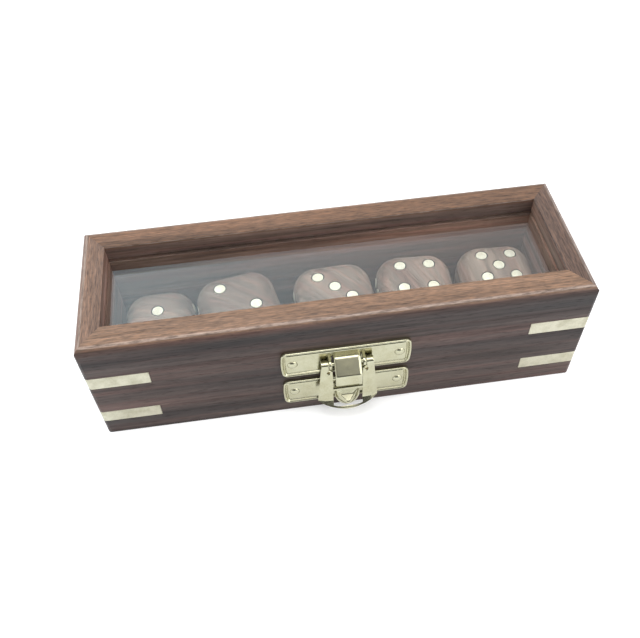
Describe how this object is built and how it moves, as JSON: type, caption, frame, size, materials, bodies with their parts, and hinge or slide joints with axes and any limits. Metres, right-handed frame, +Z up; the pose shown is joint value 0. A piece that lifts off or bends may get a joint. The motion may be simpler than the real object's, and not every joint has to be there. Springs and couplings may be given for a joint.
{
  "type": "glass-topped dice box",
  "caption": "Long mitred rosewood box with brass corner inlays, a hinged glazed lid closed by a brass hasp, and rounded wooden dice with brass pips inside.",
  "frame": {"origin": "centre of the box's underside, on the surface it stands on", "axes": "+X along the length to the right as seen from the latch, the latch side faces -Y, +Z up"},
  "size_m": [0.152, 0.0585, 0.0425],
  "materials": {
    "rosewood": "oiled satin",
    "dice_wood": "oiled satin",
    "glass": "polished",
    "inlay_brass": "ground flush, satin",
    "pip_brass": "ground flush, satin",
    "latch_brass": "plated, bright",
    "hinge_brass": "plated, bright"
  },
  "bodies": {
    "base": {"base_front": "rosewood", "base_back": "rosewood", "base_left": "rosewood", "base_right": "rosewood", "base_floor": "rosewood", "base_inlays": "inlay_brass", "left_hinge_base_leaf": "hinge_brass", "right_hinge_base_leaf": "hinge_brass", "left_hinge_pin": "hinge_brass", "right_hinge_pin": "hinge_brass", "base_hinge_nails": "hinge_brass", "base_plate": "latch_brass", "base_plate_nails": "latch_brass"},
    "lid": {"lid_front": "rosewood", "lid_back": "rosewood", "lid_left": "rosewood", "lid_right": "rosewood", "glass_pane": "glass", "lid_inlays": "inlay_brass", "left_hinge_lid_leaf": "hinge_brass", "right_hinge_lid_leaf": "hinge_brass", "lid_hinge_nails": "hinge_brass", "lid_plate": "latch_brass", "lid_plate_nails": "latch_brass", "hasp_pin": "latch_brass"},
    "hasp": {"hasp": "latch_brass"},
    "die_1": {"die_1": "dice_wood", "die_1_pips": "pip_brass"},
    "die_2": {"die_2": "dice_wood", "die_2_pips": "pip_brass"},
    "die_3": {"die_3": "dice_wood", "die_3_pips": "pip_brass"},
    "die_4": {"die_4": "dice_wood", "die_4_pips": "pip_brass"},
    "die_5": {"die_5": "dice_wood", "die_5_pips": "pip_brass"}
  },
  "joints": [
    {"name": "lid_hinge", "type": "hinge", "parent": "base", "child": "lid", "pos_m": [0, 0.02605, 0.018], "axis": [-1, 0, 0], "range_deg": [0, 110]},
    {"name": "hasp_swing", "type": "hinge", "parent": "lid", "child": "hasp", "pos_m": [0.0008, -0.02665, 0.0252], "axis": [-1, 0, 0], "range_deg": [0, 165]},
    {"name": "die_1_lift", "type": "slide", "parent": "base", "child": "die_1", "axis": [0, 0, 1], "range_m": [0, 0.004]},
    {"name": "die_2_lift", "type": "slide", "parent": "base", "child": "die_2", "axis": [0, 0, 1], "range_m": [0, 0.004]},
    {"name": "die_3_lift", "type": "slide", "parent": "base", "child": "die_3", "axis": [0, 0, 1], "range_m": [0, 0.004]},
    {"name": "die_4_lift", "type": "slide", "parent": "base", "child": "die_4", "axis": [0, 0, 1], "range_m": [0, 0.004]},
    {"name": "die_5_lift", "type": "slide", "parent": "base", "child": "die_5", "axis": [0, 0, 1], "range_m": [0, 0.004]}
  ],
  "couplings": [
    {"joint": "hasp_swing", "follows": "lid_hinge", "ratio": 1.5}
  ]
}
